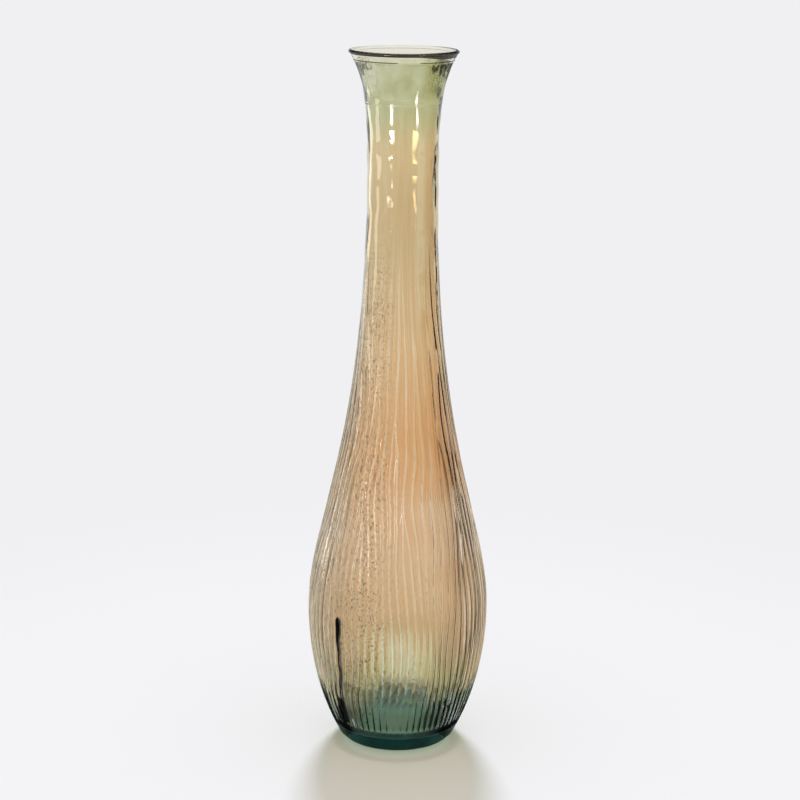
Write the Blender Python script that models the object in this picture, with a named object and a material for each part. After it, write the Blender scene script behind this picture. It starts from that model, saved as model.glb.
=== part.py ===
"""Tall ribbed floor vase of recycled glass, blown in a fluted mould.

Metres, +Z up. The origin is the centre of the foot, on the surface that the vase stands on.
Four rings and discs of glass stand on each other, butt-fused face to face: a thick solid base,
the ribbed body with its neck, the smooth flared collar and the fire-polished lip.
"""

import math

import bmesh
import bpy

# Heights, from the floor up
FOOT_TO_BELLY = 0.200
BELLY_TO_NECK = 0.622
NECK_TO_RIM = 0.178
COLLAR_HEIGHT = 0.073

# Outside radii, over the crests of the ribs
FOOT_RADIUS = 0.080
BELLY_RADIUS = 0.130
NECK_RADIUS = 0.0496
MOUTH_RADIUS = 0.0767

# How far the outline leaves each of those places straight, as a share of the height to the next
FOOT_LEAN_SHARE = 0.24
FOOT_REACH_SHARE = 0.41
BELLY_DROP_SHARE = 0.15
BELLY_RISE_SHARE = 0.19
NECK_DROP_SHARE = 0.61
NECK_RISE_SHARE = 0.43
MOUTH_DROP_SHARE = 0.28
MOUTH_LEAN_SHARE = 0.16

# Glass thickness
FLOOR_THICKNESS = 0.025
FOOT_WALL = 0.0085
BELLY_WALL = 0.0050
NECK_WALL = 0.0045
MOUTH_WALL = 0.0042

# Solid base
HEEL_RADIUS = 0.006
STANDING_RING_WIDTH = 0.013
KICK_DEPTH = 0.005
FLOOR_DOME = 0.002
FLOOR_CORNER = 0.014

# Ribs: narrow crests with shallow flutes between them
FLUTE_COUNT = 72
FLUTE_DEPTH = 0.0018
FLUTE_START = 0.015
FLUTE_END = 0.045
FLUTE_FLOOR_SHARE = 0.32
FADED_DEPTH_SHARE = 0.05
FADE_LOW_SHARE = 0.19
FADE_HIGH_SHARE = 0.80
FIRST_FORK_SHARE = 0.45
LAST_OPENING_SHARE = 0.82
FORK_SHARE = 0.18
SLIVER_SHARE = 0.03
HALF_SHARE = 0.5
HALVED_TIMES = 3
SHUFFLE_SHARE = 0.06

# Slow sideways drift of the ribs: how many times it repeats round the vase, the height of one
# wave, where it starts, and how far it goes, as a share of one flute
WAVE_HEIGHTS = (0.61, 0.37, 0.23)
WAVE_REPEATS = (3, 7, 13)
WAVE_STARTS = (0.4, 2.1, 4.0)
WAVE_REACH_SHARES = (0.5, 0.25, 0.15)

# Lip: a low band, a little proud of the collar, with the bead on top
LIP_HEIGHT = 0.0160
LIP_PROUD = 0.0005
BEAD_HEIGHT = 0.0054
BEAD_WIDTH = 0.0068
BEAD_START = -30
BEAD_END = 210

# Fused seams and mesh steps
SEAM_GAP = 0.0003
TURNED_STEPS = 54
BODY_ROWS = 24
LINING_ROWS = 14
COLLAR_ROWS = 7
BASE_ROWS = 3
HEEL_STEPS = 4
CORNER_STEPS = 4
KICK_STEPS = 3
LIP_ROWS = 3
BEAD_STEPS = 8
ROW_CROWDING = 1.35
SHARP_ANGLE = math.radians(40)
HALVINGS = 40
MERGE_SHARE = 0.01

# Worked out from the sizes above
NECK_HEIGHT = FOOT_TO_BELLY + BELLY_TO_NECK
RIM_HEIGHT = NECK_HEIGHT + NECK_TO_RIM
COLLAR_SEAM = RIM_HEIGHT - COLLAR_HEIGHT
LIP_SEAM = RIM_HEIGHT - LIP_HEIGHT
MERGE_DISTANCE = SEAM_GAP * MERGE_SHARE


def bezier(ends, t):
    """The value at t, from 0 to 1, of a cubic curve with these four controls."""
    a, b, c, d = ends
    u = 1 - t
    return u**3 * a + 3 * u * u * t * b + 3 * u * t * t * c + t**3 * d


def smooth(t):
    """0 below 0, 1 above 1, and a smooth step between."""
    t = min(1.0, max(0.0, t))
    return t * t * (3 - 2 * t)


# The outline is three cubic curves: foot to belly, belly to neck, and neck to mouth. Each has
# its four control radii and its four control heights.
FOOT_CURVE = (
    (FOOT_RADIUS, FOOT_RADIUS + FOOT_LEAN_SHARE * FOOT_TO_BELLY, BELLY_RADIUS, BELLY_RADIUS),
    (0.0, FOOT_REACH_SHARE * FOOT_TO_BELLY, (1 - BELLY_DROP_SHARE) * FOOT_TO_BELLY, FOOT_TO_BELLY),
)
SHOULDER_CURVE = (
    (BELLY_RADIUS, BELLY_RADIUS, NECK_RADIUS, NECK_RADIUS),
    (
        FOOT_TO_BELLY,
        FOOT_TO_BELLY + BELLY_RISE_SHARE * BELLY_TO_NECK,
        NECK_HEIGHT - NECK_DROP_SHARE * BELLY_TO_NECK,
        NECK_HEIGHT,
    ),
)
MOUTH_CURVE = (
    (NECK_RADIUS, NECK_RADIUS, MOUTH_RADIUS - MOUTH_LEAN_SHARE * NECK_TO_RIM, MOUTH_RADIUS),
    (
        NECK_HEIGHT,
        NECK_HEIGHT + NECK_RISE_SHARE * NECK_TO_RIM,
        RIM_HEIGHT - MOUTH_DROP_SHARE * NECK_TO_RIM,
        RIM_HEIGHT,
    ),
)


def outer_radius(height):
    """The outside radius at a height, over the crests of the ribs."""
    curve = MOUTH_CURVE
    if height < FOOT_TO_BELLY:
        curve = FOOT_CURVE
    elif height < NECK_HEIGHT:
        curve = SHOULDER_CURVE
    radii, heights = curve
    low, high = 0.0, 1.0
    for _ in range(HALVINGS):
        middle = (low + high) / 2
        if bezier(heights, middle) < height:
            low = middle
        else:
            high = middle
    return bezier(radii, (low + high) / 2)


def wall(height):
    """The wall's thickness at a height: thickest at the foot, where the hot glass ran down."""
    if height < FOOT_TO_BELLY:
        return FOOT_WALL + (BELLY_WALL - FOOT_WALL) * smooth(height / FOOT_TO_BELLY)
    if height < NECK_HEIGHT:
        rise = (height - FOOT_TO_BELLY) / BELLY_TO_NECK
        return BELLY_WALL + (NECK_WALL - BELLY_WALL) * smooth(rise)
    rise = (height - NECK_HEIGHT) / NECK_TO_RIM
    return NECK_WALL + (MOUTH_WALL - NECK_WALL) * smooth(rise)


def inner_radius(height):
    return outer_radius(height) - wall(height)


def opening_turn(i, below_belly):
    """When a flute opens among the others, from 0, first, to 1, last. Neighbours take turns: every
    second flute comes in the first half, every fourth in a quarter, and so on, a little shuffled."""
    turn = SHUFFLE_SHARE * math.sin(i * i)
    if below_belly:
        turn += HALF_SHARE
    for times in range(HALVED_TIMES):
        turn += (i // 2**times) % 2 * HALF_SHARE ** (times + 1)
    return turn % 1


def flute_weights(height):
    """How wide each flute is against its neighbours, from 0 to 1. A flute opens where the wall
    has grown wide enough for it, so ribs fork on the shoulder and join again below the belly.
    Under the lowest fork they run straight down."""
    forked = max(height, FIRST_FORK_SHARE * FOOT_TO_BELLY)
    open_share = outer_radius(forked) / BELLY_RADIUS
    weights = []
    for i in range(FLUTE_COUNT):
        opens_at = opening_turn(i, height < FOOT_TO_BELLY) * LAST_OPENING_SHARE
        weight = smooth((open_share - opens_at) / FORK_SHARE)
        weights.append(weight if weight > SLIVER_SHARE else 0.0)
    return weights


def flute_depth(height):
    """How deep a full flute is at a height: soon full above the base, and faint on the neck."""
    start = smooth((height - FLOOR_THICKNESS) / FLUTE_START)
    rise = (height - FOOT_TO_BELLY) / (COLLAR_SEAM - FOOT_TO_BELLY)
    fade = smooth((rise - FADE_LOW_SHARE) / (FADE_HIGH_SHARE - FADE_LOW_SHARE))
    end = smooth((COLLAR_SEAM - height) / FLUTE_END)
    return FLUTE_DEPTH * start * end * (1 - (1 - FADED_DEPTH_SHARE) * fade)


def drift(angle, height):
    """How far a rib at this angle has wandered sideways at this height, in radians. It starts
    straight at the foot and wanders fully from the belly up."""
    flute = math.tau / FLUTE_COUNT * smooth(height / FOOT_TO_BELLY)
    moved = 0.0
    for wave, repeats, start, reach in zip(
        WAVE_HEIGHTS, WAVE_REPEATS, WAVE_STARTS, WAVE_REACH_SHARES
    ):
        round_it = math.sin(repeats * angle + start)
        moved += flute * reach * round_it * math.sin(math.tau * height / wave + start)
    return moved


def fluted_ring(height):
    """Points round the body at a height: each flute gives its crest and two points on its floor."""
    weights = flute_weights(height)
    total = sum(weights)
    radius = outer_radius(height)
    depth = flute_depth(height)
    points = []
    passed = 0.0
    for weight in weights:
        for share, sunk in (
            (0.0, 0.0),
            (FLUTE_FLOOR_SHARE, weight),
            (1 - FLUTE_FLOOR_SHARE, weight),
        ):
            angle = math.tau * (passed + share * weight) / total
            angle += drift(angle, height)
            r = radius - depth * sunk
            points.append((r * math.cos(angle), r * math.sin(angle), height))
        passed += weight
    return points


def round_ring(radius, height, steps):
    turns = [math.tau * i / steps for i in range(steps)]
    return [(radius * math.cos(a), radius * math.sin(a), height) for a in turns]


def loft(bm, rings):
    """A skin through closed rings that all have as many points. It gives back the rings' vertices."""
    rows = [[bm.verts.new(point) for point in ring] for ring in rings]
    for lower, upper in zip(rows, rows[1:]):
        for i in range(len(lower)):
            j = (i + 1) % len(lower)
            bm.faces.new((lower[i], lower[j], upper[j], upper[i]))
    return rows


def nearest(ring, point):
    return min(range(len(ring)), key=lambda i: (ring[i].co - point.co).length_squared)


def annulus(bm, outer, inner):
    """A flat ring between a fine outer circle of vertices and a coarse inner one, one face for
    each inner step."""
    starts = [nearest(outer, vertex) for vertex in inner]
    for k in range(len(inner)):
        first = starts[k]
        last = starts[(k + 1) % len(inner)]
        span = (last - first) % len(outer)
        arc = [outer[(first + i) % len(outer)] for i in range(span + 1)]
        bm.faces.new(arc + [inner[(k + 1) % len(inner)], inner[k]])


def glass(name, colour, roughness):
    """Clear glass of one colour."""
    material = bpy.data.materials.new(name)
    material.use_nodes = True
    shader = material.node_tree.nodes["Principled BSDF"]
    shader.inputs["Base Color"].default_value = (*colour, 1)
    shader.inputs["Roughness"].default_value = roughness
    shader.inputs["Metallic"].default_value = 0
    shader.inputs["Transmission Weight"].default_value = 1
    shader.inputs["IOR"].default_value = 1.5
    material.diffuse_color = (*colour, 1)
    return material


def finish(bm, name, material):
    """Turns the mesh under construction into a named, smooth-shaded object."""
    bmesh.ops.remove_doubles(bm, verts=bm.verts, dist=MERGE_DISTANCE)
    bmesh.ops.recalc_face_normals(bm, faces=bm.faces)
    mesh = bpy.data.meshes.new(name)
    bm.to_mesh(mesh)
    bm.free()
    mesh.shade_smooth()
    mesh.set_sharp_from_angle(angle=SHARP_ANGLE)
    mesh.materials.append(material)
    made = bpy.data.objects.new(name, mesh)
    bpy.context.scene.collection.objects.link(made)
    return made


def turned(name, profile, material):
    """A solid of revolution about Z. The profile is a closed loop of (radius, height) points, or
    an open one that starts and ends on the axis."""
    bm = bmesh.new()
    line = [bm.verts.new((radius, 0, height)) for radius, height in profile]
    edges = [bm.edges.new(pair) for pair in zip(line, line[1:])]
    if profile[0][0] > 0:
        edges.append(bm.edges.new((line[-1], line[0])))
    bmesh.ops.spin(
        bm, geom=line + edges, axis=(0, 0, 1), cent=(0, 0, 0), angle=math.tau, steps=TURNED_STEPS
    )
    return finish(bm, name, material)


def arc(centre, radii, start, end, steps):
    """Points on an elliptical arc, angles in degrees, 0 pointing out from the axis and 90 up."""
    turns = [math.radians(start + (end - start) * i / steps) for i in range(steps + 1)]
    return [
        (centre[0] + radii[0] * math.cos(a), centre[1] + radii[1] * math.sin(a)) for a in turns
    ]


def between(low, high, rows):
    return [low + (high - low) * i / rows for i in range(rows + 1)]


def solid_base():
    """The thick glass bottom: a standing ring round a shallow kick, a rounded heel, and the
    floor of the vase, slightly domed, on top."""
    top = FLOOR_THICKNESS - SEAM_GAP
    ring_outside = FOOT_RADIUS - HEEL_RADIUS
    ring_inside = ring_outside - STANDING_RING_WIDTH
    floor_edge = inner_radius(FLOOR_THICKNESS + FLOOR_CORNER) - FLOOR_CORNER - SEAM_GAP
    kick = [
        (ring_inside * i / KICK_STEPS, KICK_DEPTH * (1 - (i / KICK_STEPS) ** 2))
        for i in range(KICK_STEPS + 1)
    ]
    heel = arc((ring_outside, HEEL_RADIUS), (HEEL_RADIUS, HEEL_RADIUS), -90, 0, HEEL_STEPS)
    widen = outer_radius(HEEL_RADIUS) - FOOT_RADIUS
    heel = [(radius + widen * height / HEEL_RADIUS, height) for radius, height in heel]
    side = [(outer_radius(h), h) for h in between(HEEL_RADIUS, top, BASE_ROWS)[1:]]
    floor = [
        (floor_edge * i / KICK_STEPS, top + FLOOR_DOME * (1 - (i / KICK_STEPS) ** 2))
        for i in range(KICK_STEPS, -1, -1)
    ]
    teal = glass("teal_glass", (0.05, 0.24, 0.20), 0.03)
    return turned("solid_base", kick + heel + side + floor, teal)


def ribbed_body():
    """The moulded wall from the base up to the collar: forking ribs outside, smooth inside."""
    foot = FLOOR_THICKNESS
    top = COLLAR_SEAM - SEAM_GAP
    shares = [(i / BODY_ROWS) ** ROW_CROWDING for i in range(BODY_ROWS + 1)]
    bm = bmesh.new()
    skin = loft(bm, [fluted_ring(foot + (top - foot) * share) for share in shares])

    corner_top = foot + FLOOR_CORNER
    corner_radius = inner_radius(corner_top)
    corner = arc(
        (corner_radius - FLOOR_CORNER, corner_top), (FLOOR_CORNER, FLOOR_CORNER), -90, 0, CORNER_STEPS
    )
    lining_heights = [
        corner_top + (top - corner_top) * (i / LINING_ROWS) ** ROW_CROWDING
        for i in range(1, LINING_ROWS + 1)
    ]
    lining = corner + [(inner_radius(h), h) for h in lining_heights]
    inside = loft(bm, [round_ring(radius, h, TURNED_STEPS) for radius, h in lining])
    annulus(bm, skin[0], inside[0])
    annulus(bm, skin[-1], inside[-1])
    return finish(bm, "ribbed_body", glass("amber_glass", (0.62, 0.40, 0.20), 0.04))


def flared_collar():
    """The smooth mouth, opened by hand above the mould, from the mould line to the lip."""
    foot = COLLAR_SEAM
    top = LIP_SEAM - SEAM_GAP
    heights = between(foot, top, COLLAR_ROWS)
    outside = [(outer_radius(h), h) for h in heights]
    inside = [(inner_radius(h), h) for h in reversed(heights)]
    return turned("flared_collar", outside + inside, glass("sage_glass", (0.52, 0.56, 0.36), 0.03))


def rolled_lip():
    """The lip, melted round in the flame: a low band and a bead thicker than the wall below it."""
    bead_middle = RIM_HEIGHT - BEAD_HEIGHT / 2
    middle_radius = outer_radius(bead_middle) - wall(bead_middle) / 2
    heights = between(LIP_SEAM, RIM_HEIGHT - BEAD_HEIGHT, LIP_ROWS)
    outside = [(outer_radius(h) + LIP_PROUD, h) for h in heights]
    bead = arc(
        (middle_radius, bead_middle), (BEAD_WIDTH / 2, BEAD_HEIGHT / 2), BEAD_START, BEAD_END, BEAD_STEPS
    )
    inside = [(inner_radius(h), h) for h in reversed(heights)]
    return turned("rolled_lip", outside + bead + inside, glass("smoky_glass", (0.20, 0.22, 0.20), 0.03))


def clear_scene():
    for obj in list(bpy.data.objects):
        bpy.data.objects.remove(obj)


def main():
    clear_scene()
    solid_base()
    ribbed_body()
    flared_collar()
    rolled_lip()


main()
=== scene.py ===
"""A tall ribbed floor vase of recycled glass, amber over green, on a pale studio floor."""

import math
from collections import namedtuple

import bmesh
import bpy
from mathutils import Matrix, Vector


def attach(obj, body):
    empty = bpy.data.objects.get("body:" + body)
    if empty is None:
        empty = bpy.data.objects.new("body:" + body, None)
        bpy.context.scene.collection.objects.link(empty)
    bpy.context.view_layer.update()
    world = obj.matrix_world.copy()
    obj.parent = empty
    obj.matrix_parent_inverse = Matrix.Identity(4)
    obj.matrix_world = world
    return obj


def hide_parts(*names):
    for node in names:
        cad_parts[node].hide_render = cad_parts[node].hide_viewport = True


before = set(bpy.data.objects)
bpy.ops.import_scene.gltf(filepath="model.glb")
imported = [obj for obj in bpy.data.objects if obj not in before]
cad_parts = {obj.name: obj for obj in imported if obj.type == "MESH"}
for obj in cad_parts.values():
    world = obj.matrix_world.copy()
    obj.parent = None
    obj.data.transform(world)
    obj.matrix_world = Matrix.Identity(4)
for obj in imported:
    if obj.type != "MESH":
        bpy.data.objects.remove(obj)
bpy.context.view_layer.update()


# Camera
# It stands three metres from the vase, a little above its rim, and looks down at it. Its
# place, tilt and lens were fitted to the outline of the vase and to the ellipse of its rim.
CAMERA_PLACE = (0.0, -3.0, 1.24)
CAMERA_TILT = 13.78
CAMERA_ROLL = 0.667
CAMERA_LENS = 97.4

camera = bpy.data.objects.new("camera", bpy.data.cameras.new("camera"))
camera.data.lens = CAMERA_LENS
camera.data.sensor_width = 36.0
camera.matrix_world = (
    Matrix.Translation(CAMERA_PLACE)
    @ Matrix.Rotation(math.radians(90 - CAMERA_TILT), 4, "X")
    @ Matrix.Rotation(math.radians(CAMERA_ROLL), 4, "Z")
)
bpy.context.scene.collection.objects.link(camera)
bpy.context.scene.camera = camera
bpy.context.scene.view_settings.view_transform = "Standard"


# Solid base
# The bottom is one thick disc of green glass, where the hot glass ran down into the mould: a
# standing ring round a shallow kick, a rounded heel, and the floor of the vase, a little domed.
# The wall above is fused to it all round.
FOOT_TO_BELLY = 0.200
BELLY_TO_NECK = 0.622
NECK_TO_RIM = 0.178
NECK_HEIGHT = FOOT_TO_BELLY + BELLY_TO_NECK
RIM_HEIGHT = NECK_HEIGHT + NECK_TO_RIM
BELLY_RADIUS = 0.130
FOOT_CURVE = ((0.080, 0.128, 0.130, 0.130), (0.0, 0.082, 0.170, 0.200))
SHOULDER_CURVE = ((0.130, 0.130, 0.0496, 0.0496), (0.200, 0.3182, 0.4426, 0.822))
MOUTH_CURVE = ((0.0496, 0.0496, 0.0482, 0.0767), (0.822, 0.8985, 0.9502, 1.000))
FOOT_WALL = 0.0085
BELLY_WALL = 0.0050
NECK_WALL = 0.0045
MOUTH_WALL = 0.0042
FLOOR_HEIGHT = 0.025
FLOOR_CORNER = 0.014
FIRST_FORK = 0.090
SEAM = 0.0003

HEEL_RADIUS = 0.006
HEEL_MIDDLE = 0.074
HEEL_END = -15
SIDE_START = 0.0075
RING_INSIDE = 0.061
KICK_DEPTH = 0.005
DOME_HEIGHT = 0.002
DOME_RADIUS = 0.0679
BASE_COLUMNS = 180
BASE_STEPS = 8
# Turn of the noise on the inside, which wavers in its own way
LINING_TURN = 7.0
SHARP_EDGE = 50
LEVEL_ENOUGH = 0.97
WHITE = (1, 1, 1, 1)
# Colour of the plain dark sheet that paints shade on the glass
DARKNESS = (0.01, 0.01, 0.012, 1)
SHADOW_TINT = (0.84, 0.80, 0.70, 1)
TEAL_GLASS = (0.50, 0.86, 0.86)
TEAL_DENSITY = 34.0
# Painted shade on the base's side: its dark teal colour, the dark sheet's colour and its share
TEAL_SIDE = (0.06, 0.28, 0.23, 1)
TEAL_DEPTH_SHADE = (0.34, 0.28, 0.27, 1)
SIDE_DARKNESS = 0.85
GLASS_IOR = 1.5
POLISH = 0.02


def bezier(ends, t):
    a, b, c, d = ends
    u = 1 - t
    return u**3 * a + 3 * u * u * t * b + 3 * u * t * t * c + t**3 * d


def rise(value, start, end):
    """A smooth step, from 0 at the start to 1 at the end."""
    t = min(1.0, max(0.0, (value - start) / (end - start)))
    return t * t * (3 - 2 * t)


def outside_radius(height):
    """Radius over the crests of the ribs, found on the outline by halving."""
    curve = MOUTH_CURVE
    if height < FOOT_TO_BELLY:
        curve = FOOT_CURVE
    elif height < NECK_HEIGHT:
        curve = SHOULDER_CURVE
    low, high = 0.0, 1.0
    for _ in range(40):
        middle = (low + high) / 2
        if bezier(curve[1], middle) < height:
            low = middle
        else:
            high = middle
    return bezier(curve[0], low)


def wall(height):
    """Thickness of the glass: most at the foot, least at the mouth."""
    if height < FOOT_TO_BELLY:
        return FOOT_WALL + (BELLY_WALL - FOOT_WALL) * rise(height, 0, FOOT_TO_BELLY)
    if height < NECK_HEIGHT:
        return BELLY_WALL + (NECK_WALL - BELLY_WALL) * rise(height, FOOT_TO_BELLY, NECK_HEIGHT)
    return NECK_WALL + (MOUTH_WALL - NECK_WALL) * rise(height, NECK_HEIGHT, RIM_HEIGHT)


def inside_radius(height):
    return outside_radius(height) - wall(height)


def between(low, high, steps):
    return [low + (high - low) * i / steps for i in range(steps + 1)]


def arc(centre, radii, start, end, steps):
    """Radius and height of points on an elliptical arc, 0 degrees pointing out and 90 up."""
    turns = [math.radians(a) for a in between(start, end, steps)]
    return [
        (centre[0] + radii[0] * math.cos(a), centre[1] + radii[1] * math.sin(a)) for a in turns
    ]


# One row of a turned wall: its radius and height, how deep the flutes bite into it, how far
# their ends have closed, whether it is on the inside, and how much it may waver.
Row = namedtuple("Row", "radius height bite closed inner free", defaults=(0, 0, 0, 0))


class Tree:
    """A short way to write node trees."""

    def __init__(self, tree):
        self.tree = tree

    def node(self, kind, **settings):
        made = self.tree.nodes.new(kind)
        for name, value in settings.items():
            setattr(made, name, value)
        return made

    def feed(self, socket, value):
        if isinstance(value, bpy.types.NodeSocket):
            self.tree.links.new(value, socket)
        else:
            socket.default_value = value

    def math(self, operation, *values):
        made = self.node("ShaderNodeMath", operation=operation)
        for socket, value in zip(made.inputs, values):
            self.feed(socket, value)
        return made.outputs[0]

    def chain(self, operation, first, others):
        for other in others:
            first = self.math(operation, first, other)
        return first

    def times(self, first, *others):
        return self.chain("MULTIPLY", first, others)

    def plus(self, first, *others):
        return self.chain("ADD", first, others)

    def most(self, first, *others):
        return self.chain("MAXIMUM", first, others)

    def minus(self, first, second):
        return self.math("SUBTRACT", first, second)

    def ratio(self, first, second):
        return self.math("DIVIDE", first, second)

    def absolute(self, value):
        return self.math("ABSOLUTE", value)

    def step(self, value, low, high, start=0.0, end=1.0):
        """A smooth step from start, where the value is low, to end, where it is high."""
        made = self.node("ShaderNodeMapRange", interpolation_type="SMOOTHSTEP")
        for name, number in zip(
            ("Value", "From Min", "From Max", "To Min", "To Max"), (value, low, high, start, end)
        ):
            self.feed(made.inputs[name], number)
        return made.outputs[0]

    def span(self, value, start, full, fading, end):
        """1 from full to fading, with a smooth way down to 0 at start and at end."""
        return self.times(self.step(value, start, full), self.step(value, end, fading))

    def near(self, value, middle, reach, core, peak=1.0):
        """The peak inside the core round the middle, and 0 beyond the reach."""
        return self.step(self.absolute(self.minus(value, middle)), reach, core, 0.0, peak)

    def point(self, x, y, z):
        made = self.node("ShaderNodeCombineXYZ")
        for socket, value in zip(made.inputs, (x, y, z)):
            self.feed(socket, value)
        return made.outputs[0]

    def parts(self, vector):
        made = self.node("ShaderNodeSeparateXYZ")
        self.feed(made.inputs[0], vector)
        return made.outputs

    def noise(self, place, scale, detail=0.0, turn=0.0):
        """Soft noise, about as many times a metre as its scale. Each turn is another pattern."""
        made = self.node("ShaderNodeTexNoise", noise_dimensions="4D")
        self.feed(made.inputs["Vector"], place)
        self.feed(made.inputs["Scale"], scale)
        self.feed(made.inputs["Detail"], detail)
        self.feed(made.inputs["W"], turn)
        return made.outputs["Fac"]

    def uneven(self, place, scale, detail, turn):
        """Noise that goes as far below nothing as above it."""
        return self.minus(self.noise(place, scale, detail, turn), 0.5)

    def blend(self, amount, first, second, kind="MIX"):
        """Goes from the first colour to the second one, or with MULTIPLY to their product."""
        made = self.node("ShaderNodeMix", data_type="RGBA", blend_type=kind)
        for place, value in ((0, amount), (6, first), (7, second)):
            self.feed(made.inputs[place], value)
        return made.outputs[2]

    def gamma(self, colour, power):
        made = self.node("ShaderNodeGamma")
        self.feed(made.inputs[0], colour)
        self.feed(made.inputs[1], power)
        return made.outputs[0]

    def mixed(self, amount, first, second):
        """A shader that goes from the first one to the second one."""
        made = self.node("ShaderNodeMixShader")
        for socket, value in zip(made.inputs, (amount, first.outputs[0], second.outputs[0])):
            self.feed(socket, value)
        return made


def round_bend(t, given, column, row_of, radius, height):
    """Bends the columns evenly round the axis."""
    return t.times(t.ratio(column, given["Columns"]), math.tau), radius, None


def turning_tree(name, bend=round_bend, extra_inputs=()):
    """A grid of columns by rows is bent round the axis. Each row takes its radius, height and
    the rest from one point of the section, and the glass wavers a little as it was blown."""
    tree = bpy.data.node_groups.new(name, "GeometryNodeTree")
    inputs = [("Section", "Object"), ("Columns", "Int"), ("Rows", "Int"), ("Material", "Material")]
    inputs += [("Waver", "Float"), ("Waver size", "Float"), *extra_inputs]
    for word, kind in inputs:
        tree.interface.new_socket(word, in_out="INPUT", socket_type="NodeSocket" + kind)
    tree.interface.new_socket("Glass", in_out="OUTPUT", socket_type="NodeSocketGeometry")
    t = Tree(tree)
    given = t.node("NodeGroupInput").outputs

    grid = t.node("GeometryNodeMeshGrid")
    t.feed(grid.inputs["Vertices X"], t.plus(given["Columns"], 1))
    t.feed(grid.inputs["Vertices Y"], given["Rows"])
    index = t.node("GeometryNodeInputIndex").outputs[0]
    column = t.math("FLOOR", t.ratio(t.plus(index, 0.5), given["Rows"]))
    row = t.minus(index, t.times(column, given["Rows"]))

    section = t.node("GeometryNodeObjectInfo")
    t.feed(section.inputs["Object"], given["Section"])

    def row_of(word, kind="FLOAT"):
        if word == "row":
            return row
        if word == "place":
            value = t.node("GeometryNodeInputPosition").outputs[0]
        else:
            found = t.node("GeometryNodeInputNamedAttribute", data_type="FLOAT")
            found.inputs["Name"].default_value = word
            value = found.outputs[0]
        sample = t.node("GeometryNodeSampleIndex", data_type=kind, domain="POINT")
        t.feed(sample.inputs["Geometry"], section.outputs["Geometry"])
        t.feed(sample.inputs["Value"], value)
        t.feed(sample.inputs["Index"], row)
        return sample.outputs[0]

    radius, _, height = t.parts(row_of("place", "FLOAT_VECTOR"))
    angle, radius, sunk = bend(t, given, column, row_of, radius, height)

    def at(reach):
        return t.times(t.math("COSINE", angle), reach), t.times(t.math("SINE", angle), reach)

    place = t.point(*at(radius), height)
    wave = t.uneven(place, given["Waver size"], 1.0, t.times(row_of("inner"), LINING_TURN))
    wave = t.times(wave, t.times(given["Waver"], row_of("free")))
    placed = t.point(*at(t.plus(radius, wave)), height)

    glass = grid.outputs["Mesh"]
    if sunk is not None:
        keep = t.node("GeometryNodeStoreNamedAttribute", data_type="FLOAT", domain="POINT")
        keep.inputs["Name"].default_value = "sunk"
        t.feed(keep.inputs["Geometry"], glass)
        t.feed(keep.inputs["Value"], sunk)
        glass = keep.outputs[0]
    move = t.node("GeometryNodeSetPosition")
    t.feed(move.inputs["Geometry"], glass)
    t.feed(move.inputs["Position"], placed)
    weld = t.node("GeometryNodeMergeByDistance")
    t.feed(weld.inputs["Geometry"], move.outputs[0])
    weld.inputs["Distance"].default_value = SEAM / 8
    soft = t.node("GeometryNodeSetShadeSmooth")
    t.feed(soft.inputs[0], weld.outputs[0])
    real = t.node("GeometryNodeRealizeInstances")
    t.feed(real.inputs[0], soft.outputs[0])
    painted = t.node("GeometryNodeSetMaterial")
    t.feed(painted.inputs["Geometry"], real.outputs[0])
    t.feed(painted.inputs["Material"], given["Material"])
    t.feed(t.node("NodeGroupOutput").inputs[0], painted.outputs[0])
    return tree


def turned(name, tree, rows, **given):
    """Turns a section into a finished piece, a plain closed mesh."""
    line = bpy.data.meshes.new(name + "_section")
    line.from_pydata([(row.radius, 0, row.height) for row in rows], [], [])
    for word in Row._fields[2:]:
        values = [getattr(row, word) for row in rows]
        line.attributes.new(word, "FLOAT", "POINT").data.foreach_set("value", values)
    girths = [outside_radius(max(row.height, FIRST_FORK)) / BELLY_RADIUS for row in rows]
    line.attributes.new("girth", "FLOAT", "POINT").data.foreach_set("value", girths)
    drawn = bpy.data.objects.new(name + "_section", line)
    bpy.context.scene.collection.objects.link(drawn)

    piece = bpy.data.objects.new(name, bpy.data.meshes.new(name))
    bpy.context.scene.collection.objects.link(piece)
    turning = piece.modifiers.new("turning", "NODES")
    turning.node_group = tree
    given.update({"Section": drawn, "Rows": len(rows)})
    for item in tree.interface.items_tree:
        if item.in_out == "INPUT":
            turning[item.identifier] = given[item.name]
    mesh = bpy.data.meshes.new_from_object(
        piece.evaluated_get(bpy.context.evaluated_depsgraph_get())
    )
    piece.modifiers.remove(turning)
    piece.data = mesh
    bpy.data.objects.remove(drawn)
    work = bmesh.new()
    work.from_mesh(mesh)
    bmesh.ops.dissolve_degenerate(work, dist=SEAM / 30, edges=work.edges)
    bmesh.ops.recalc_face_normals(work, faces=work.faces)
    work.to_mesh(mesh)
    work.free()
    mesh.set_sharp_from_angle(angle=math.radians(SHARP_EDGE))
    return piece


# A spot on the vase: its place, its distance from the axis, and how far it is to the right,
# from -1 to 1
Spot = namedtuple("Spot", "place x y z girth side")


def spot_on_vase(t):
    place = t.node("ShaderNodeTexCoord").outputs["Object"]
    x, y, z = t.parts(place)
    girth = t.math("SQRT", t.plus(t.times(x, x), t.times(y, y)))
    return Spot(place, x, y, z, girth, t.ratio(x, girth))


def fused(t, z, *heights):
    """A mask of the flat faces where two of these pieces meet. The real vase is one bubble of
    glass, so they let everything straight through."""
    facing_up = t.parts(t.node("ShaderNodeNewGeometry").outputs["True Normal"])[2]
    mask = 0.0
    for height in heights:
        mask = t.most(mask, t.math("LESS_THAN", t.absolute(t.minus(z, height)), SEAM / 6))
    return t.times(mask, t.math("GREATER_THAN", t.absolute(facing_up), LEVEL_ENOUGH))


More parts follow.
